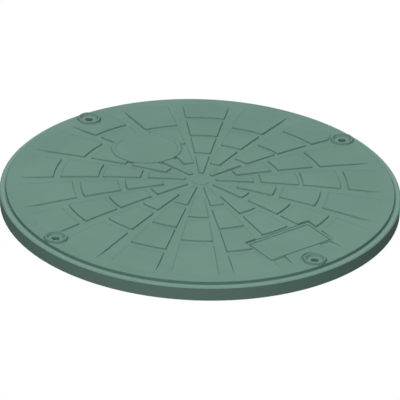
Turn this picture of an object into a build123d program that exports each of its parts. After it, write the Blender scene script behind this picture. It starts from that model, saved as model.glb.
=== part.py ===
from build123d import *
import os
from math import asin, cos, degrees, radians, sin, sqrt, tan

# Bolt-down manhole cover: a round moulded lid with a shallow dome, a cobble relief, a ribbed
# underside, a seal in its land and four sunk lock screws. Millimetres and degrees, +Z up.
# The origin is at the centre of the lid, at the height of the skirt's bottom edge.

# ---- Driving dimensions ----
# Rim
cover_r = 350.0        # outside of the flange
skirt_h = 26.0         # skirt's bottom edge to the flat of the flange
skirt_wall = 4.0
skirt_draw = 0.8       # how far the skirt draws in towards its bottom edge
flange_w = 11.0        # flat of the flange, outside the step
step_h = 5.6           # flange to border
step_lean = 0.5        # how far the step leans out towards its foot
plate_wall = 5.0
flange_edge = 2.2
border_edge = 0.8

# Dome and cobble relief
border_w = 48.5        # flat border, from the step to the foot of the dome
dome_rise = 14.9
pad_relief = 2.9
sector_count = 18
groove_angle = 5.0     # radial groove between two sectors
first_sector = 15.0    # middle of the first sector
pad_length = 65.0
even_pad_starts = (27.0, 105.5, 179.0, 258.0)
odd_pad_starts = (66.5, 144.5, 223.5)
shortest_pad = 20.0
centre_disc_r = 14.7
centre_disc_h = 0.5

# Round medallion, bare inside its raised rim
medallion_at_r = 153.0
medallion_angle = 135.0
medallion_r = 63.0
medallion_rim_w = 9.3
medallion_rim_h = 3.6
medallion_floor_h = 2.2
medallion_flank = 2.6

# Rectangular name field, bare inside its bead
field_at_r = 247.0
field_angle = 315.0
field_radial = 70.0
field_length = 141.0
field_h = 3.6          # height of its middle above the border
field_tilt = 2.5
bead_margin = 5.0
bead_outer_margin = 1.8
bead_w = 1.6
bead_h = 0.8

# Screw bosses
boss_count = 4
first_boss = 45.0
ring_foot_r = 21.3
ring_flank = 3.0
ring_top_w = 1.9
ring_h = 3.6
recess_flank = 3.2
recess_sink = 0.5      # recess floor below the border
boss_column_r = 15.0
pad_clear = 2.5        # pads stop this far short of a boss ring
seat_z = 12.0          # land and boss feet, which rest on the neck
web_h = 8.0            # boss foot to the floor of the screw pocket

# Screws, sealing washers and compression sleeves
screw_r = 4.0
screw_length = 16.0
thread_length = 6.2
shank_r = 3.6          # above the thread
head_r = 6.5
head_h = 5.0
socket_across = 5.0
socket_depth = 3.0
head_chamfer = 0.6
tip_chamfer = 0.8
pocket_clear = 0.3     # head to pocket
washer_h = 1.5
washer_clear = 0.2     # washer to pocket, and washer to screw
sleeve_clear = 0.4     # screw to sleeve
sleeve_wall = 1.6

# Underside
rib_w = 4.0
rib_foot_z = 14.0
rib_rings = (45.0, 115.0, 200.0)
half_rib_from = 1      # the half-way ribs start at this ring
rib_root = 2.0         # how deep ribs and land run into the plate
land_w = 14.0
land_gap = 0.5         # land to the inside of the boss rings, in plan
groove_w = 7.0
groove_depth = 4.0
gasket_side_clear = 0.25
gasket_proud = 2.0
gasket_edge = 1.8

# ---- Sizes worked out from them ----
plate_r = cover_r - flange_w
dome_r = plate_r - border_w
border_z = skirt_h + step_h
sphere_r = (dome_r ** 2 + dome_rise ** 2) / (2 * dome_rise)
sphere_z = border_z + dome_rise - sphere_r
sector_angle = 360.0 / sector_count
pad_angle = sector_angle - groove_angle
pad_foot_r = sqrt(sphere_r ** 2 - (sphere_r - dome_rise - pad_relief) ** 2)

boss_at_r = plate_r - ring_foot_r
boss_step = 360.0 / boss_count
ring_out_r = ring_foot_r - ring_flank
ring_in_r = ring_out_r - ring_top_w
recess_r = ring_in_r - recess_flank
recess_z = border_z - recess_sink
pocket_r = max(head_r, screw_r + sleeve_clear + sleeve_wall) + pocket_clear
pocket_z = seat_z + web_h
washer_out_r = pocket_r - washer_clear
washer_in_r = screw_r + washer_clear
washer_z = pocket_z
head_z = washer_z + washer_h
sleeve_in_r = screw_r + sleeve_clear
sleeve_out_r = sleeve_in_r + sleeve_wall

land_out_r = boss_at_r - ring_foot_r - land_gap
land_in_r = land_out_r - land_w
groove_mid_r = (land_out_r + land_in_r) / 2


def sphere_at(r, lift=0.0):
    """Height of the dome's sphere, raised by lift, at radius r from the lid's axis."""
    return sphere_z + sqrt(sphere_r ** 2 - r ** 2) + lift


def turned(*points):
    """Solid turned about Z from a closed run of points, each a radius and a height."""
    return revolve(Plane.XZ * make_face(Polyline(*points, close=True)), axis=Axis.Z)


def polar(angle, r, solid):
    """A solid made about the Z axis, moved out to radius r at an angle round the lid."""
    return Rot(0, 0, angle) * Pos(r, 0, 0) * solid


def boss_angles():
    return [first_boss + k * boss_step for k in range(boss_count)]


def ball(lift=0.0):
    """The dome's sphere, raised by lift. Its poles lie to the sides, away from the dome."""
    return Pos(0, 0, sphere_z + lift) * Rot(0, 90, 0) * Sphere(sphere_r)


def disc(r, z_from, z_to):
    """Upright cylinder about the lid's axis between two heights."""
    return Pos(0, 0, (z_from + z_to) / 2) * Cylinder(r, z_to - z_from)


def skin(r, low, high):
    """Part of a disc of radius r between the dome's sphere raised by low and by high."""
    block = disc(r, border_z + low, border_z + dome_rise + high + 1)
    return (block & ball(high)) - ball(low)


def rib_angles():
    """The full ribs run under the radial grooves of the relief, where the wall is thinnest."""
    return [first_sector + (k + 0.5) * sector_angle for k in range(sector_count)]


def shell():
    """Skirt, flange, step and border turned as one, with the dome's wall inside them."""
    rim = turned(
        (dome_r, border_z),
        (plate_r - border_edge, border_z),
        (plate_r, border_z - border_edge),
        (plate_r + step_lean, skirt_h),
        (cover_r - flange_edge, skirt_h),
        (cover_r, skirt_h - flange_edge),
        (cover_r - skirt_draw, 0),
        (cover_r - skirt_draw - skirt_wall, 0),
        (cover_r - skirt_wall, skirt_h - plate_wall),
        (plate_r - plate_wall, skirt_h - plate_wall),
        (plate_r - plate_wall, border_z - plate_wall),
        (dome_r, border_z - plate_wall),
    )
    return rim + skin(dome_r, -plate_wall, 0)


def proud_skin(lift):
    """Skin that stands proud of the dome by lift, runs out into the border and is rooted in the wall."""
    edge_r = sqrt(sphere_r ** 2 - (border_z - sphere_z - lift) ** 2)
    return skin(edge_r, -rib_root, lift)


def sector_face(r_from, r_to, middle):
    """Flat outline of one pad: two arcs about the centre and two radial sides."""
    def at(r, angle):
        return (r * cos(radians(angle)), r * sin(radians(angle)))
    low = middle - pad_angle / 2
    high = middle + pad_angle / 2
    return make_face([
        Line(at(r_from, low), at(r_to, low)),
        ThreePointArc(at(r_to, low), at(r_to, middle), at(r_to, high)),
        Line(at(r_to, high), at(r_from, high)),
        ThreePointArc(at(r_from, high), at(r_from, middle), at(r_from, low)),
    ])


def pad_spans(starts):
    """Inner and outer radius of each pad in a sector. The last one runs out to the border."""
    used = [start for start in starts if start < dome_r - shortest_pad]
    spans = [(start, start + pad_length) for start in used[:-1]]
    return spans + [(used[-1], pad_foot_r + rib_root)]


def cobbles():
    """Raised pads in running bond, cut round the medallion, the name field and the bosses."""
    cap = proud_skin(pad_relief)
    height = dome_rise + pad_relief + 4 * rib_root
    flank_share = pad_relief / medallion_rim_h
    medallion_edge = medallion_r - medallion_flank * flank_share
    keep_out = [Rot(0, 0, medallion_angle) * Pos(medallion_at_r, 0) * Circle(medallion_edge)]
    keep_out.append(Rot(0, 0, field_angle) * Pos(field_at_r, 0) * Rectangle(field_radial, field_length))
    for angle in boss_angles():
        keep_out.append(Rot(0, 0, angle) * Pos(boss_at_r, 0) * Circle(ring_foot_r + pad_clear))
    pads = []
    for k in range(sector_count):
        starts = odd_pad_starts if k % 2 else even_pad_starts
        for r_from, r_to in pad_spans(starts):
            face = Sketch() + sector_face(r_from, r_to, first_sector + k * sector_angle)
            face = face - keep_out
            if face is None or not face.faces():
                continue
            for piece in face.faces():
                block = extrude(Plane.XY.offset(border_z - 2 * rib_root) * piece, amount=height)
                pads.extend((block & cap).solids())
    return pads


def medallion():
    """Flat disc with a raised rim, made at the top of the dome and swung out along it."""
    rim_in = medallion_r - medallion_rim_w
    rim_out = medallion_r - medallion_flank
    flank = medallion_rim_h - medallion_floor_h
    floor = sphere_at(rim_in, medallion_floor_h)
    root = sphere_at(medallion_r, -rib_root)
    disc_and_rim = turned(
        (0, floor),
        (rim_in, floor),
        (rim_in + flank, sphere_at(rim_in + flank, medallion_rim_h)),
        (rim_out, sphere_at(rim_out, medallion_rim_h)),
        (medallion_r, sphere_at(medallion_r)),
        (medallion_r, root),
        (0, root),
    )
    swing = degrees(asin(medallion_at_r / sphere_r))
    place = Rot(0, 0, medallion_angle) * Pos(0, 0, sphere_z) * Rot(0, swing, 0) * Pos(0, 0, -sphere_z)
    return place * disc_and_rim


def field_height(r):
    """Height of the name field's flat at radius r along its middle line."""
    return border_z + field_h - (r - field_at_r) * tan(radians(field_tilt))


def field_slab(below, above):
    """Slab over the name field, from a distance below its flat to one above it."""
    r_in = field_at_r - field_radial / 2
    r_out = field_at_r + field_radial / 2
    outline = Polyline(
        (r_in, field_height(r_in) - below),
        (r_out, field_height(r_out) - below),
        (r_out, field_height(r_out) + above),
        (r_in, field_height(r_in) + above),
        close=True,
    )
    slab = extrude(Plane.XZ * make_face(outline), amount=field_length / 2, both=True)
    return Rot(0, 0, field_angle) * slab


def field_bead():
    """Thin raised bead round the name field."""
    length = field_length - 2 * bead_margin
    radial = field_radial - bead_margin - bead_outer_margin
    shift = (bead_margin - bead_outer_margin) / 2
    bead = Rectangle(radial, length) - Rectangle(radial - 2 * bead_w, length - 2 * bead_w)
    lean = Pos(field_at_r, 0, border_z + field_h) * Rot(0, field_tilt, 0)
    solid = extrude(Pos(shift, 0, -rib_root / 2) * bead, amount=rib_root / 2 + bead_h)
    return Rot(0, 0, field_angle) * lean * solid


def boss_ring():
    """Raised ring with sloped flanks round a screw recess, made about the Z axis."""
    low = recess_z - rib_root
    top = border_z + ring_h
    return turned(
        (recess_r, low),
        (ring_foot_r, low),
        (ring_foot_r, border_z),
        (ring_out_r, top),
        (ring_in_r, top),
        (recess_r, recess_z),
    )


def boss_column():
    """Column under a screw boss, from the neck's level up into the plate."""
    height = border_z - rib_root - seat_z
    return Pos(0, 0, seat_z + height / 2) * Cylinder(boss_column_r, height)


def boss_bore():
    """Recess, screw pocket and sleeve hole, as one stepped cutter."""
    above = border_z + dome_rise
    return turned(
        (0, above),
        (recess_r, above),
        (recess_r, recess_z),
        (pocket_r, recess_z),
        (pocket_r, pocket_z),
        (sleeve_out_r, pocket_z),
        (sleeve_out_r, seat_z - 1),
        (0, seat_z - 1),
    )


def land():
    """Ring that rests on the neck, with the gasket groove in its foot."""
    top = border_z - rib_root
    groove_z = seat_z + groove_depth
    groove_in = groove_mid_r - groove_w / 2
    groove_out = groove_mid_r + groove_w / 2
    return turned(
        (land_in_r, top),
        (land_in_r, seat_z),
        (groove_in, seat_z),
        (groove_in, groove_z),
        (groove_out, groove_z),
        (groove_out, seat_z),
        (land_out_r, seat_z),
        (land_out_r, top),
    )


def radial_bar(r_from, r_to, angle):
    """Plan of one radial rib."""
    length = r_to - r_from
    return Rot(0, 0, angle) * Pos((r_from + r_to) / 2, 0) * Rectangle(length, rib_w)


def inner_ribs():
    """Rings and radial ribs inside the land, with half-way ribs where the full ones spread apart."""
    rings = [r for r in rib_rings if r < land_in_r - shortest_pad]
    half_from = rings[min(half_rib_from, len(rings) - 1)]
    reach = land_in_r + rib_root
    plan = Sketch()
    for r in rings:
        plan += Circle(r + rib_w / 2) - Circle(r - rib_w / 2)
    for angle in rib_angles():
        plan += radial_bar(rings[0], reach, angle)
        plan += radial_bar(half_from, reach, angle + sector_angle / 2)
    block = extrude(Plane.XY.offset(rib_foot_z) * plan, amount=border_z + dome_rise)
    return block & disc(reach, rib_foot_z, border_z + dome_rise) & ball(-rib_root)


def outer_ribs():
    """Short ribs between the land and the skirt."""
    r_from = land_out_r - rib_root
    r_to = cover_r - skirt_draw - skirt_wall / 2
    plan = Sketch()
    for angle in rib_angles() + boss_angles():
        plan += radial_bar(r_from, r_to, angle)
    block = extrude(Plane.XY.offset(rib_foot_z) * plan, amount=border_z)
    room = turned(
        (r_from - rib_w, rib_foot_z),
        (r_to, rib_foot_z),
        (r_to, skirt_h - rib_root),
        (plate_r - rib_root, skirt_h - rib_root),
        (plate_r - rib_root, border_z - rib_root),
        (r_from - rib_w, border_z - rib_root),
    )
    return block & room


def cover():
    """The whole moulding."""
    centre_disc = disc(centre_disc_r, border_z, border_z + 2 * dome_rise) & proud_skin(centre_disc_h)
    body = shell() - field_slab(0, 2 * dome_rise)
    raised = [centre_disc, medallion(), field_slab(plate_wall, 0), field_bead()]
    raised += cobbles()
    under = [land(), inner_ribs(), outer_ribs()]
    for angle in boss_angles():
        raised.append(polar(angle, boss_at_r, boss_ring()))
        under.append(polar(angle, boss_at_r, boss_column()))
    body = body + raised + under
    return body - [polar(angle, boss_at_r, boss_bore()) for angle in boss_angles()]


def gasket():
    """Rubber ring in the land's groove, narrowed where it meets the neck."""
    half = groove_w / 2 - gasket_side_clear
    top = seat_z + groove_depth
    low = seat_z - gasket_proud
    return turned(
        (groove_mid_r - half, top),
        (groove_mid_r - half, low + gasket_edge),
        (groove_mid_r - half + gasket_edge, low),
        (groove_mid_r + half - gasket_edge, low),
        (groove_mid_r + half, low + gasket_edge),
        (groove_mid_r + half, top),
    )


def sleeves():
    """Compression sleeves pressed into the bosses, so that the screws don't crush them."""
    ring = Circle(sleeve_out_r) - Circle(sleeve_in_r)
    sleeve = extrude(Plane.XY.offset(seat_z) * ring, amount=web_h)
    return Compound([polar(angle, boss_at_r, sleeve) for angle in boss_angles()])


def washer():
    """Sealing washer under a screw's head."""
    ring = Circle(washer_out_r) - Circle(washer_in_r)
    return extrude(Plane.XY.offset(washer_z) * ring, amount=washer_h)


def screw():
    """Low-head socket screw, with its head on the washer and a thinner shank above its thread."""
    top = head_z + head_h
    tip = head_z - screw_length
    body = turned(
        (0, top),
        (head_r - head_chamfer, top),
        (head_r, top - head_chamfer),
        (head_r, head_z),
        (shank_r, head_z),
        (shank_r, tip + thread_length),
        (screw_r, tip + thread_length),
        (screw_r, tip + tip_chamfer),
        (screw_r - tip_chamfer, tip),
        (0, tip),
    )
    hexagon = RegularPolygon(socket_across / 2, 6, major_radius=False)
    socket = extrude(Plane.XY.offset(top - socket_depth) * hexagon, amount=socket_depth + 1)
    return body - socket


def pieces():
    """Every piece of the assembly by node name."""
    named = {"cover": cover(), "gasket": gasket(), "compression_sleeves": sleeves()}
    for number, angle in enumerate(boss_angles(), start=1):
        named[f"sealing_washer_{number}"] = polar(angle, boss_at_r, washer())
        named[f"lock_screw_{number}"] = polar(angle, boss_at_r, screw())
    return named


os.makedirs("parts", exist_ok=True)
for name, solid in pieces().items():
    export_step(solid, f"parts/{name}.step")
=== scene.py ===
from math import asin, cos, radians, sin, sqrt, tan

import bmesh
import bpy
from mathutils import Matrix, Quaternion, Vector

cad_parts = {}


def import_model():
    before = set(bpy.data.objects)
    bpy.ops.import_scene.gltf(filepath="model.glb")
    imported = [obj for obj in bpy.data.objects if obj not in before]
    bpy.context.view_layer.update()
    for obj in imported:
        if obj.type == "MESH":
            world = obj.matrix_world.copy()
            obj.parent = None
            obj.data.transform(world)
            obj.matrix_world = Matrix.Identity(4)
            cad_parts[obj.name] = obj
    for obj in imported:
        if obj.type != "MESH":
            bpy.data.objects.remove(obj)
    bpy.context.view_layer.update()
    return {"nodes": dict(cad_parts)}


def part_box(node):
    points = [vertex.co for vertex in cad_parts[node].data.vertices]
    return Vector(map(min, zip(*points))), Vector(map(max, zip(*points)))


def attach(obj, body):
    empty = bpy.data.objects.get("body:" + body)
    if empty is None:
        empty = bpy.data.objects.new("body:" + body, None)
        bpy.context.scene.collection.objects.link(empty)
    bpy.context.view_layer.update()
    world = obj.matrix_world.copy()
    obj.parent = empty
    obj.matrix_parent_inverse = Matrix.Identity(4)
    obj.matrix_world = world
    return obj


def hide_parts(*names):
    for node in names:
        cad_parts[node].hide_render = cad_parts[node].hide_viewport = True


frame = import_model()

# A bolt-down manhole cover: one grey-green moulding with a cobble relief, four dark lock screws sunk in
# their recesses, a rubber seal and steel sleeves on its underside. Metres, +Z up, as in the frame.

MM = 0.001
SCREWS = range(1, 5)

# ---- The moulding, as in the CAD ----
LID_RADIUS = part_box("cover")[1].x
STEP_RADIUS = LID_RADIUS - 11 * MM    # the step's wall, at the flange's inner edge
FLANGE_TOP = 26 * MM
BORDER_LEVEL = 31.6 * MM
DOME_RADIUS = 290.5 * MM              # plan radius of the dome's foot
DOME_RISE = 14.9 * MM
SPHERE_RADIUS = (DOME_RADIUS ** 2 + DOME_RISE ** 2) / (2 * DOME_RISE)
MEDALLION_AT = 153 * MM
MEDALLION_ANGLE = 135.0
MEDALLION_FOOT = 63 * MM              # outer foot of the medallion's rim
FIELD_AT = 248.6 * MM                 # middle of the name field's bead
FIELD_ANGLE = 315.0
BEAD_HALF_RADIAL = 30.8 * MM
BEAD_HALF_LENGTH = 64.7 * MM

# ---- Rings and rim over the moulded ones, in millimetres ----
RING_INNER = 13.25                    # foot of the slope into the screw's recess
RING_CREST = (16.1, 19.0)             # radii of the crest's edges
RING_OUTER = 21.3
RING_TOP = 4.0                        # above the border
RING_EDGE = 0.35                      # radius of the crest's rounded edges
RING_SUNK = 0.8                       # how far the ring reaches into the border
RING_TUCK = (0.25, 0.05)              # buried inner edge inside the inner foot; outer foot below the border
RECESS_SINK = 0.5                     # recess floor below the border
RIM_INNER = 53.6                      # radii of the feet of the rim's slopes
RIM_OUTER = MEDALLION_FOOT / MM
RIM_SLOPE = 1.7                       # width of each slope
RIM_TOP = 4.15                        # above the dome
RIM_EDGE = (0.4, 0.15)                # width and drop of the crest's broken edges
RIM_INNER_LIFT = 2.25                 # inner slope's foot above the dome
RIM_REACH = (1.25, 1.0)               # how far the buried edges lie below the inner foot and the dome
RIM_TUCK = (0.2, 0.2)                 # buried inner edge inside the inner foot; outer foot below the dome

# ---- Washers and M8 lock screws, in millimetres, with heights above the tip ----
WASHER_CLEARANCE = 0.2
WASHER_EDGE = 0.35
THREAD_PITCH = 1.25
THREAD_MAJOR = 4.0
THREAD_MINOR = 3.233
THREAD_TOP = 6.2
THREAD_RUN_OUT = 0.8
# The thread's corners: share of the pitch and radius.
THREAD_CORNERS = ((0.0, THREAD_MINOR), (0.25, THREAD_MINOR), (0.5625, THREAD_MAJOR), (0.6875, THREAD_MAJOR))
TIP_RADIUS = 3.1
SHANK_RADIUS = 3.6
HEAD_RADIUS = 6.5
HEAD_HEIGHT = 5.0
HEAD_CHAMFER = 0.6
HEAD_EDGE = 0.3                       # chamfers under the head
KNURL_BOTTOM_MARGIN = 0.3             # plain bands below and above the knurl
KNURL_TOP_MARGIN = 0.4
KNURL_END = 0.15                      # run-out of the knurl's ridges
KNURL_DEPTH = 0.18
SOCKET_HALF = 2.5                     # half of the hexagon's width across its flats
SOCKET_CHAMFER = (0.55, 0.35)         # width and depth
SOCKET_DEPTH = 3.0
DRILL_RADIUS = 0.6                    # flat end of the drill point in the socket's floor
DRILL_DEPTH = 0.6
SCREW_TURN = 17                       # degrees from each socket's direction to the next one's

# ---- Fineness of the turned forms ----
WASHER_COLUMNS = 48
SCREW_COLUMNS = 96
RING_COLUMNS = 96
RIM_COLUMNS = 180
CORNER_STEPS = 4
MERGE_DISTANCE = 0.002 * MM
SHARP_ANGLE = 35.0                    # edges sharper than this many degrees stay sharp
SCREW_SHARP_ANGLE = 28.0

# ---- Colours: linear red, green and blue, and opacity ----
WHITE = (1, 1, 1, 1)
GREEN = (0.166, 0.283, 0.237, 1)
GREEN_DEEP = (0.155, 0.267, 0.223, 1)
# paler green painted on the flange as a highlight
GREEN_PAINTED_HIGHLIGHT = (0.19, 0.315, 0.269, 1)
# paler green painted on the skirt as light falling on it
GREEN_PAINTED_SKIRT_LIGHT = (0.206, 0.338, 0.294, 1)
# dark green: dirt in the grain's pits, and painted shade at the step, the bead, the medallion's rim and in
# corners
DIRT_AND_PAINTED_SHADE = (0.06, 0.112, 0.091, 1)
RUBBER = (0.018, 0.018, 0.019, 1)
RUBBER_PALE = (0.03, 0.03, 0.031, 1)
COATING = (0.08, 0.095, 0.092, 1)
COATING_WORN = (0.17, 0.18, 0.175, 1)
BARE_STEEL = (0.5, 0.5, 0.49, 1)
BARE_STEEL_PALE = (0.6, 0.6, 0.58, 1)

# ---- Surface, dirt in the grain, and painted light and shade of the moulding ----
PLASTIC_ROUGHNESS = 0.85
PLASTIC_SPECULAR = 0.01
CLOUD_SCALE = 9.0                     # noise waves to a metre
GRAIN_SCALE = 1500.0
CLOUD_RANGE = (0.35, 0.65)            # noise values between which the deep green turns into the plain one
PIT_RANGE = (0.45, 0.25)              # noise values between which a pit fills with dirt
GRAIN_DEPTH = 0.12 * MM
GRAIN_STRENGTH = 0.5
PAINTED_LIGHT_FROM = (2.4 * MM, 3.2 * MM)    # outward of the step's wall: where the painted highlight on the flange and the painted light on the skirt start and are full
FADE = 1.0 * MM                       # height over which a tint fades
SKIRT_LIGHT_FADE = 2.0 * MM                 # the same for the skirt's painted light
# A band's limits, past the place that it belongs to: where it starts, is full, fades and ends.
STEP_BAND = (-0.9 * MM, -0.3 * MM, 2.8 * MM, 4.0 * MM)
STEP_FADE = (0.2 * MM, 1.0 * MM)      # below the border: where the band ends and is full
MEDALLION_BAND = (-2.6 * MM, -1.8 * MM, 0.0, 0.8 * MM)
BEAD_BAND = (0.6 * MM, 1.1 * MM)      # off the bead's line: where its painted shade fades and ends
STEP_PAINTED_SHADE = 0.22                      # the strength of the painted shade in each place, and of the dirt in the grain's pits
BEAD_PAINTED_SHADE = 0.6
MEDALLION_PAINTED_SHADE = 0.25
PIT_DIRT = 0.25
CORNER_PAINTED_SHADE = 0.25
CRISP_CORNER_PAINTED_SHADE = 0.1
CORNER_REACH = 3.0 * MM               # how far a corner's walls count
CORNER_RANGE = (0.75, 0.3)            # openness below which the painted corner shade starts, and where it is full
SURFACE_SAMPLES = 8                   # rays of the corner and bevel nodes
BEVEL = 3.0 * MM                      # how wide the relief's edges are rounded
CRISP_BEVEL = 0.5 * MM
EDGE_BEVEL = 0.6 * MM                 # on the step, the flange and the skirt
BEVEL_CHANGE = (3 * MM, 4 * MM)       # inward of the step's wall: where one bevel turns into the other

# ---- Rubber and steel ----
RUBBER_ROUGHNESS = 0.7
RUBBER_GRAIN_SCALE = 900.0
RUBBER_GRAIN_DEPTH = 0.1 * MM
RUBBER_GRAIN_STRENGTH = 0.3
COATING_ROUGHNESS = 0.45
BARE_STEEL_ROUGHNESS = 0.35
STEEL_METALLIC = 0.8
STEEL_GRAIN_SCALE = 2500.0
STEEL_GRAIN_DEPTH = 0.05 * MM
STEEL_GRAIN_STRENGTH = 0.2
BLOT_SCALE = 400.0
BLOT_RANGE = (0.4, 0.7)               # noise values between which one shade turns into the other

# ---- Camera ----
AIM_HEIGHT = 0.0247                   # point on the lid's axis that the aim is measured from
VIEW_AZIMUTH = -84.19                 # degrees from +X to the side that the camera looks from
VIEW_ELEVATION = 28.06
VIEW_ROLL = 2.0
VIEW_DISTANCE = 15.77
LENS_MM = 814.1
SENSOR_MM = 36.0
LOOK_BELOW = 0.01402                  # the lid stands this far above the middle of the picture
LOOK_RIGHT = -0.00057
VIEW_END = 200.0                      # how far the camera sees

# ---- Light ----
# Soft lamps far off: turn round the lid from the camera's side and height, in degrees, and strength.
LAMPS = {"key": (-40.0, 60.0, 1.78), "fill": (40.0, 60.0, 1.17), "back": (180.0, 60.0, 0.5)}
LAMP_WIDTH = 0.5                      # radians across, seen from the lid
WORLD_STRENGTH = 0.06                 # what the lid gets from the surroundings
FLOOR_SIZE = 60.0
FLOOR_GREY = 0.06                     # what the lid gets back from the floor
FLOOR_GLOW = 0.94                     # what the camera sees of it besides


def camera():
    """Long lens at the photograph's angle, aimed a little below the lid's middle."""
    azimuth = radians(VIEW_AZIMUTH)
    elevation = radians(VIEW_ELEVATION)
    outward = Vector((cos(azimuth) * cos(elevation), sin(azimuth) * cos(elevation), sin(elevation)))
    turn = (-outward).to_track_quat("-Z", "Y") @ Quaternion((0, 0, 1), radians(VIEW_ROLL))
    right = turn @ Vector((1, 0, 0))
    up = turn @ Vector((0, 1, 0))
    data = bpy.data.cameras.new("camera")
    data.lens = LENS_MM
    data.sensor_width = SENSOR_MM
    data.clip_end = VIEW_END
    eye = bpy.data.objects.new("camera", data)
    middle = Vector((0, 0, AIM_HEIGHT)) + right * LOOK_RIGHT - up * LOOK_BELOW
    eye.location = middle + outward * VIEW_DISTANCE
    eye.rotation_mode = "QUATERNION"
    eye.rotation_quaternion = turn
    bpy.context.scene.collection.objects.link(eye)
    bpy.context.scene.camera = eye


def place_on_dome(radius, angle):
    """Place on the dome's surface at a plan radius and an angle in degrees, with Z along the normal."""
    turn = Matrix.Rotation(radians(angle), 4, "Z")
    sphere_middle = Matrix.Translation((0, 0, BORDER_LEVEL + DOME_RISE - SPHERE_RADIUS))
    tilt = Matrix.Rotation(asin(radius / SPHERE_RADIUS), 4, "Y")
    return turn @ sphere_middle @ tilt @ Matrix.Translation((0, 0, SPHERE_RADIUS))


# ---- Nodes ----
class Net:
    """The node tree of a material or a world, with short calls for adding and joining nodes."""

    def __init__(self, owner):
        owner.use_nodes = True
        self.owner = owner
        self.tree = owner.node_tree
        self.tree.nodes.clear()
        is_world = isinstance(owner, bpy.types.World)
        self.output = self.add("ShaderNodeOutputWorld" if is_world else "ShaderNodeOutputMaterial")

    def add(self, kind, **values):
        """A node. Keys that name a socket, with _ for a space, set or join it; others set a property."""
        node = self.tree.nodes.new(kind)
        for key, value in values.items():
            if hasattr(node, key):
                setattr(node, key, value)
        for key, value in values.items():
            if not hasattr(node, key):
                self.put(node, key.replace("_", " "), value)
        return node

    def put(self, node, socket, value):
        """Sets a socket of a node, or joins another node's output to it."""
        place = node.inputs[socket]
        if isinstance(value, bpy.types.NodeSocket):
            self.tree.links.new(value, place)
        else:
            place.default_value = value

    def math(self, operation, *values):
        """One calculation with one or two values."""
        node = self.add("ShaderNodeMath", operation=operation)
        for socket, value in enumerate(values):
            self.put(node, socket, value)
        return node.outputs[0]

    def product(self, first, *others):
        """Values multiplied together."""
        for other in others:
            first = self.math("MULTIPLY", first, other)
        return first

    def ramp(self, value, low, high, to_low=0.0, to_high=1.0):
        """A value mapped from one range to another and held inside it."""
        node = self.add("ShaderNodeMapRange", clamp=True)
        for socket, number in enumerate((value, low, high, to_low, to_high)):
            self.put(node, socket, number)
        return node.outputs[0]

    def band(self, value, origin, limits):
        """1 in a band and 0 outside it, with limits that are counted from an origin."""
        starts, full, fades, ends = [origin + limit for limit in limits]
        return self.product(self.ramp(value, starts, full), self.ramp(value, ends, fades))

    def mix(self, share, first, second):
        """Two colours mixed by a share from 0 to 1."""
        node = self.add("ShaderNodeMix", data_type="RGBA")
        for socket, value in ((0, share), (6, first), (7, second)):
            self.put(node, socket, value)
        return node.outputs[2]

    def noise(self, place, scale, detail):
        node = self.add("ShaderNodeTexNoise", Vector=place, Scale=scale, Detail=detail)
        return node.outputs[0]

    def bump(self, height, strength, distance, **values):
        node = self.add("ShaderNodeBump", Height=height, Strength=strength, Distance=distance, **values)
        return node.outputs[0]

    def place(self):
        """A point's place on the piece at rest."""
        return self.add("ShaderNodeTexCoord").outputs["Object"]

    def seen(self):
        """1 where the camera, a reflection or a view through glass looks, and 0 for other light."""
        rays = self.add("ShaderNodeLightPath").outputs
        mirrored = self.math("MAXIMUM", rays["Is Glossy Ray"], rays["Is Transmission Ray"])
        return self.math("MAXIMUM", rays["Is Camera Ray"], mirrored)

    def finish(self, shader):
        self.tree.links.new(shader, self.output.inputs["Surface"])
        return self.owner


# ---- Painted shade on the moulding ----
def step_painted_shade(net, radius, z):
    """Share of painted shade on the step's wall and on the flange at its foot, where the step's shadow
    falls.
    """
    ends, full = STEP_FADE
    low = net.ramp(z, FLANGE_TOP - 2 * FADE, FLANGE_TOP - FADE)
    high = net.ramp(z, BORDER_LEVEL - ends, BORDER_LEVEL - full)
    return net.product(net.band(radius, STEP_RADIUS, STEP_BAND), low, high, STEP_PAINTED_SHADE)


def bead_painted_shade(net, x, y, z):
    """Share of painted shade along the bead round the name field, a dark line where its walls are in shade.
    """
    cosine = cos(radians(FIELD_ANGLE))
    sine = sin(radians(FIELD_ANGLE))
    outward = net.math("ADD", net.product(x, cosine), net.product(y, sine))
    along = net.math("SUBTRACT", net.product(y, cosine), net.product(x, sine))
    from_middle = net.math("ABSOLUTE", net.math("SUBTRACT", outward, FIELD_AT))
    past_side = net.math("SUBTRACT", from_middle, BEAD_HALF_RADIAL)
    past_end = net.math("SUBTRACT", net.math("ABSOLUTE", along), BEAD_HALF_LENGTH)
    off_bead = net.math("ABSOLUTE", net.math("MAXIMUM", past_side, past_end))
    fades, ends = BEAD_BAND
    on_top = net.ramp(z, BORDER_LEVEL, BORDER_LEVEL + FADE)
    return net.product(net.ramp(off_bead, ends, fades), on_top, BEAD_PAINTED_SHADE)


def medallion_painted_shade(net, place, z):
    """Share of painted shade in a ring on the outer slope of the medallion's rim, where its foot is in
    shade.
    """
    middle = place_on_dome(MEDALLION_AT, MEDALLION_ANGLE).to_translation()
    apart = net.add("ShaderNodeVectorMath", operation="DISTANCE", Vector=place)
    apart.inputs[1].default_value = middle
    ring = net.band(apart.outputs["Value"], MEDALLION_FOOT, MEDALLION_BAND)
    return net.product(ring, net.ramp(z, BORDER_LEVEL, BORDER_LEVEL + FADE), MEDALLION_PAINTED_SHADE)


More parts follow.
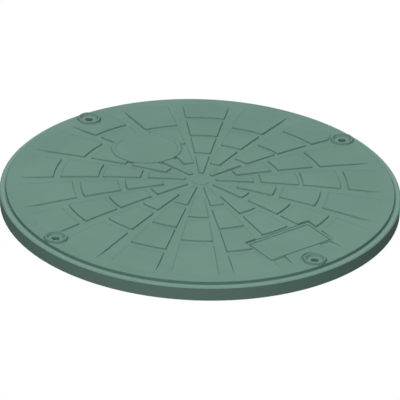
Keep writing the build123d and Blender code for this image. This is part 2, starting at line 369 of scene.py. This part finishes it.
# ---- Materials ----
def plastic(name, bevel, corner_painted_shade):
    """Grey-green moulded plastic: faint clouds, fine grain with dirt in its pits, a painted highlight on
    the flange, painted light on the skirt, and painted shade at the step, the bead, the medallion's rim and
    in corners.
    """
    net = Net(bpy.data.materials.new(name))
    place = net.place()
    x, y, z = net.add("ShaderNodeSeparateXYZ", Vector=place).outputs
    radius = net.math("SQRT", net.math("ADD", net.product(x, x), net.product(y, y)))

    cloud = net.noise(place, CLOUD_SCALE, detail=3.0)
    grain = net.noise(place, GRAIN_SCALE, detail=2.0)
    colour = net.mix(net.ramp(cloud, *CLOUD_RANGE), GREEN_DEEP, GREEN)
    colour = net.mix(net.ramp(grain, *PIT_RANGE, 0.0, PIT_DIRT), colour, DIRT_AND_PAINTED_SHADE)

    # Painted highlight on the flange and painted light on the skirt, outward of the step's wall
    starts, full = PAINTED_LIGHT_FROM
    outside = net.ramp(radius, STEP_RADIUS + starts, STEP_RADIUS + full)
    flange = net.product(outside, net.ramp(z, FLANGE_TOP + FADE, FLANGE_TOP))
    skirt = net.product(outside, net.ramp(z, FLANGE_TOP - FADE, FLANGE_TOP - FADE - SKIRT_LIGHT_FADE))
    colour = net.mix(flange, colour, GREEN_PAINTED_HIGHLIGHT)
    colour = net.mix(skirt, colour, GREEN_PAINTED_SKIRT_LIGHT)

    # Painted shade at the step's foot, along the bead and round the medallion's rim
    colour = net.mix(step_painted_shade(net, radius, z), colour, DIRT_AND_PAINTED_SHADE)
    colour = net.mix(bead_painted_shade(net, x, y, z), colour, DIRT_AND_PAINTED_SHADE)
    colour = net.mix(medallion_painted_shade(net, place, z), colour, DIRT_AND_PAINTED_SHADE)
    # Painted shade in corners, darker where the walls close round a point
    corner = net.add("ShaderNodeAmbientOcclusion", samples=SURFACE_SAMPLES, Distance=CORNER_REACH)
    colour = net.mix(net.ramp(corner.outputs["AO"], *CORNER_RANGE, 0.0, corner_painted_shade), colour, DIRT_AND_PAINTED_SHADE)

    ends, full = BEVEL_CHANGE
    width = net.ramp(radius, STEP_RADIUS - ends, STEP_RADIUS - full, EDGE_BEVEL, bevel)
    rounded = net.add("ShaderNodeBevel", samples=SURFACE_SAMPLES, Radius=width)
    normal = net.bump(grain, GRAIN_STRENGTH, GRAIN_DEPTH, Normal=rounded.outputs[0])
    shader = net.add("ShaderNodeBsdfPrincipled", Base_Color=colour, Roughness=PLASTIC_ROUGHNESS,
                     Normal=normal)
    shader.inputs["Specular IOR Level"].default_value = PLASTIC_SPECULAR
    return net.finish(shader.outputs[0])


def rubber():
    """Black EPDM rubber."""
    net = Net(bpy.data.materials.new("black_rubber"))
    grain = net.noise(net.place(), RUBBER_GRAIN_SCALE, detail=3.0)
    normal = net.bump(grain, RUBBER_GRAIN_STRENGTH, RUBBER_GRAIN_DEPTH)
    colour = net.mix(grain, RUBBER, RUBBER_PALE)
    shader = net.add("ShaderNodeBsdfPrincipled", Base_Color=colour, Roughness=RUBBER_ROUGHNESS,
                     Normal=normal)
    return net.finish(shader.outputs[0])


def steel(name, colour, worn, roughness):
    """Turned steel in two shades, which mix in blots."""
    net = Net(bpy.data.materials.new(name))
    place = net.place()
    grain = net.noise(place, STEEL_GRAIN_SCALE, detail=2.0)
    normal = net.bump(grain, STEEL_GRAIN_STRENGTH, STEEL_GRAIN_DEPTH)
    blot = net.noise(place, BLOT_SCALE, detail=3.0)
    shade = net.mix(net.ramp(blot, *BLOT_RANGE), colour, worn)
    shader = net.add("ShaderNodeBsdfPrincipled", Base_Color=shade, Roughness=roughness,
                     Metallic=STEEL_METALLIC, Normal=normal)
    return net.finish(shader.outputs[0])


def paint(node, material):
    """Gives a CAD node one material."""
    for slot in frame["nodes"][node].material_slots:
        slot.material = material


# ---- Pieces ----
def point_at(place, radius, angle, height):
    """Point from a radius and a height in millimetres and an angle in degrees, moved to a place."""
    turn = radians(angle)
    return place @ Vector((radius * MM * cos(turn), radius * MM * sin(turn), height * MM))


def solid(name, points, faces, material, body, sharp=SHARP_ANGLE):
    """A piece from points in metres and faces, smooth except at its sharp edges."""
    mesh = bpy.data.meshes.new(name)
    form = bmesh.new()
    corners = [form.verts.new(point) for point in points]
    for face in faces:
        around = list(dict.fromkeys(face))
        if len(around) > 2:
            form.faces.new([corners[i] for i in around])
    bmesh.ops.remove_doubles(form, verts=form.verts, dist=MERGE_DISTANCE)
    bmesh.ops.dissolve_degenerate(form, edges=form.edges, dist=MERGE_DISTANCE)
    bmesh.ops.recalc_face_normals(form, faces=form.faces)
    form.to_mesh(mesh)
    form.free()
    mesh.polygons.foreach_set("use_smooth", [True] * len(mesh.polygons))
    mesh.set_sharp_from_angle(angle=radians(sharp))
    mesh.materials.append(material)
    piece = bpy.data.objects.new(name, mesh)
    bpy.context.scene.collection.objects.link(piece)
    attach(piece, body)
    return piece


def turned(name, profile, columns, place, material, body):
    """A ring turned about its place's Z from a closed outline of radii and heights in millimetres."""
    points = [point_at(place, r, 360 * j / columns, z) for r, z in profile for j in range(columns)]
    faces = []
    for k in range(len(profile)):
        near = k * columns
        far = (k + 1) % len(profile) * columns
        for j in range(columns):
            after = (j + 1) % columns
            faces.append((near + j, near + after, far + after, far + j))
    return solid(name, points, faces, material, body)


def rounded_corner(r, z, size, first):
    """Quarter circle of a size about a middle point, clockwise from a first angle in degrees."""
    angles = [radians(first - 90 * step / CORNER_STEPS) for step in range(CORNER_STEPS + 1)]
    return [(r + size * cos(a), z + size * sin(a)) for a in angles]


def sealing_washer(number, material):
    """EPDM washer with rounded edges."""
    low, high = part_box(f"sealing_washer_{number}")
    middle = (low + high) / 2
    inner = THREAD_MAJOR + WASHER_CLEARANCE + WASHER_EDGE
    outer = (high.x - low.x) / 2 / MM - WASHER_EDGE
    bottom = WASHER_EDGE
    top = (high.z - low.z) / MM - WASHER_EDGE
    corners = ((inner, bottom, 270), (inner, top, 180), (outer, top, 90), (outer, bottom, 0))
    profile = [point for r, z, first in corners for point in rounded_corner(r, z, WASHER_EDGE, first)]
    place = Matrix.Translation((middle.x, middle.y, low.z))
    piece = turned(f"seal_washer_{number}", profile, WASHER_COLUMNS, place, material,
                   f"washer_{number}")
    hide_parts(f"sealing_washer_{number}")


def thread_radius(z, radius):
    """Radius of the thread at a height, run out into the shank and cut by the tip's chamfer."""
    share = min(1.0, max(0.0, (THREAD_TOP - z) / THREAD_RUN_OUT))
    return min(SHANK_RADIUS + (radius - SHANK_RADIUS) * share, TIP_RADIUS + z)


def hexagon(angle, half):
    """Radius of a hexagon at an angle in degrees."""
    return half / cos(radians((angle % 60) - 30))


def screw_rows(turns, under_head, top):
    """The screw's rows of points from tip to socket: the kind of row and its sizes."""
    rows = [("thread", (turn - 1, *corner)) for turn in range(turns) for corner in THREAD_CORNERS]
    rim = top - HEAD_CHAMFER
    knurl_from = under_head + HEAD_EDGE + KNURL_BOTTOM_MARGIN
    knurl_to = rim - KNURL_TOP_MARGIN
    wide, deep = SOCKET_CHAMFER
    floor_level = top - SOCKET_DEPTH
    rows += [
        ("plain", (SHANK_RADIUS, THREAD_TOP)),
        ("plain", (SHANK_RADIUS, under_head - HEAD_EDGE)),
        ("plain", (SHANK_RADIUS + HEAD_EDGE, under_head)),
        ("plain", (HEAD_RADIUS - HEAD_EDGE, under_head)),
        ("plain", (HEAD_RADIUS, under_head + HEAD_EDGE)),
        ("plain", (HEAD_RADIUS, knurl_from)),
        ("knurl", (HEAD_RADIUS, knurl_from + KNURL_END)),
        ("knurl", (HEAD_RADIUS, knurl_to - KNURL_END)),
        ("plain", (HEAD_RADIUS, knurl_to)),
        ("plain", (HEAD_RADIUS, rim)),
        ("plain", (HEAD_RADIUS - HEAD_CHAMFER, top)),
        ("plain", (SOCKET_HALF + wide, top)),
        ("socket", (SOCKET_HALF, top - deep)),
        ("socket", (SOCKET_HALF, floor_level)),
        ("plain", (DRILL_RADIUS, floor_level - DRILL_DEPTH)),
    ]
    return rows


def screw_point(row, angle):
    """Radius and height of a row's point at an angle in degrees."""
    kind, sizes = row
    if kind == "thread":
        turn, share, radius = sizes
        z = min(THREAD_TOP, max(0.0, (turn + share + angle / 360) * THREAD_PITCH))
        return thread_radius(z, radius), z
    r, z = sizes
    if kind == "knurl":
        ridge = round(angle * SCREW_COLUMNS / 360) % 2
        return r - KNURL_DEPTH * ridge, z
    if kind == "socket":
        return hexagon(angle, r), z
    return r, z


def lock_screw(number, material):
    """M8 screw: thread with a run-out, plain shank, knurled head and hexagon socket."""
    low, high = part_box(f"lock_screw_{number}")
    middle = (low + high) / 2
    top = (high.z - low.z) / MM
    turns = int(THREAD_TOP / THREAD_PITCH) + 2
    rows = screw_rows(turns, top - HEAD_HEIGHT, top)
    rows_per_turn = len(THREAD_CORNERS)
    thread_rows = rows_per_turn * turns
    turn = Matrix.Rotation(radians(SCREW_TURN * number), 4, "Z")
    place = Matrix.Translation((middle.x, middle.y, low.z)) @ turn
    points = []
    for row in rows:
        for j in range(SCREW_COLUMNS):
            angle = 360 * j / SCREW_COLUMNS
            r, z = screw_point(row, angle)
            points.append(point_at(place, r, angle, z))
    faces = []
    for k in range(len(rows) - 1):
        for j in range(SCREW_COLUMNS):
            # After a full turn the thread's rows meet those one turn further on.
            shift = rows_per_turn if j == SCREW_COLUMNS - 1 else 0
            near, far = k, k + 1
            if k < thread_rows:
                near = min(k + shift, thread_rows)
                far = min(k + 1 + shift, thread_rows)
            after = (j + 1) % SCREW_COLUMNS
            faces.append((k * SCREW_COLUMNS + j, near * SCREW_COLUMNS + after,
                          far * SCREW_COLUMNS + after, (k + 1) * SCREW_COLUMNS + j))
    faces.append(range(SCREW_COLUMNS))
    faces.append(range((len(rows) - 1) * SCREW_COLUMNS, len(rows) * SCREW_COLUMNS))
    piece = solid(f"socket_screw_{number}", points, faces, material, f"screw_{number}",
                  SCREW_SHARP_ANGLE)
    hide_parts(f"lock_screw_{number}")


def boss_ring(number, material):
    """Crisp raised ring over the moulded one, round a screw recess."""
    low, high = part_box(f"lock_screw_{number}")
    middle = (low + high) / 2
    inner, outer = RING_CREST
    aside, below = RING_TUCK
    shoulder = RING_TOP - RING_EDGE
    profile = [(RING_INNER - aside, -RING_SUNK), (RING_INNER, -RECESS_SINK)]
    profile += rounded_corner(inner + RING_EDGE, shoulder, RING_EDGE, 180)
    profile += rounded_corner(outer - RING_EDGE, shoulder, RING_EDGE, 90)
    profile += [(RING_OUTER, -below), (RING_OUTER, -RING_SUNK)]
    place = Matrix.Translation((middle.x, middle.y, BORDER_LEVEL))
    turned(f"boss_ring_{number}", profile, RING_COLUMNS, place, material, "lid")


def medallion_rim(material):
    """Crisp rim over the moulded one, round the bare medallion, lying on the dome."""
    def on_dome(r, lift):
        """A point of the outline, lifted off the dome."""
        return r, (sqrt(SPHERE_RADIUS ** 2 - (r * MM) ** 2) - SPHERE_RADIUS) / MM + lift

    wide, drop = RIM_EDGE
    into_floor, into_dome = RIM_REACH
    aside, below = RIM_TUCK
    inner = RIM_INNER + RIM_SLOPE
    outer = RIM_OUTER - RIM_SLOPE
    profile = [
        on_dome(RIM_INNER - aside, RIM_INNER_LIFT - into_floor),
        on_dome(RIM_INNER, RIM_INNER_LIFT),
        on_dome(inner, RIM_TOP - drop),
        on_dome(inner + wide, RIM_TOP),
        on_dome(outer - wide, RIM_TOP),
        on_dome(outer, RIM_TOP - drop),
        on_dome(RIM_OUTER, -below),
        on_dome(RIM_OUTER, -into_dome),
    ]
    place = place_on_dome(MEDALLION_AT, MEDALLION_ANGLE)
    turned("medallion_rim", profile, RIM_COLUMNS, place, material, "lid")


# ---- Stage ----
def floor():
    """Pale floor that shows as white but keeps the lid's shadow."""
    mesh = bpy.data.meshes.new("floor")
    half = FLOOR_SIZE / 2
    corners = [(-half, -half, 0), (half, -half, 0), (half, half, 0), (-half, half, 0)]
    mesh.from_pydata(corners, [], [(0, 1, 2, 3)])
    ground = bpy.data.objects.new("floor", mesh)
    bpy.context.scene.collection.objects.link(ground)
    net = Net(bpy.data.materials.new("floor"))
    dull = net.add("ShaderNodeBsdfDiffuse", Color=(FLOOR_GREY, FLOOR_GREY, FLOOR_GREY, 1))
    glow = net.add("ShaderNodeEmission", Strength=FLOOR_GLOW)
    both = net.add("ShaderNodeAddShader")
    net.put(both, 0, dull.outputs[0])
    net.put(both, 1, glow.outputs[0])
    pick = net.add("ShaderNodeMixShader")
    for socket, value in enumerate((net.seen(), dull.outputs[0], both.outputs[0])):
        net.put(pick, socket, value)
    mesh.materials.append(net.finish(pick.outputs[0]))


def lamp(name, turn, height, strength):
    """Soft lamp far off."""
    azimuth = radians(VIEW_AZIMUTH + turn)
    towards = Vector((cos(azimuth), sin(azimuth), tan(radians(height))))
    data = bpy.data.lights.new(name, "SUN")
    data.angle = LAMP_WIDTH
    data.energy = strength
    light = bpy.data.objects.new(name, data)
    light.rotation_mode = "QUATERNION"
    light.rotation_quaternion = (-towards).to_track_quat("-Z", "Y")
    bpy.context.scene.collection.objects.link(light)


def world():
    """White surroundings that give the lid only a little light."""
    room = bpy.data.worlds.new("room")
    bpy.context.scene.world = room
    net = Net(room)
    strength = net.ramp(net.seen(), 0.0, 1.0, WORLD_STRENGTH, 1.0)
    net.finish(net.add("ShaderNodeBackground", Color=WHITE, Strength=strength).outputs[0])


camera()
world()
floor()
for name, values in LAMPS.items():
    lamp(name, *values)
bpy.context.scene.view_settings.view_transform = "Standard"

green = plastic("green_moulded_plastic", BEVEL, CORNER_PAINTED_SHADE)
crisp_green = plastic("green_moulded_plastic_crisp", CRISP_BEVEL, CRISP_CORNER_PAINTED_SHADE)
black = rubber()
dark_steel = steel("dark_coated_steel", COATING, COATING_WORN, COATING_ROUGHNESS)
bare_steel = steel("turned_steel", BARE_STEEL, BARE_STEEL_PALE, BARE_STEEL_ROUGHNESS)
paint("cover", green)
paint("gasket", black)
paint("compression_sleeves", bare_steel)
for number in SCREWS:
    sealing_washer(number, black)
    lock_screw(number, dark_steel)
    boss_ring(number, crisp_green)
medallion_rim(crisp_green)
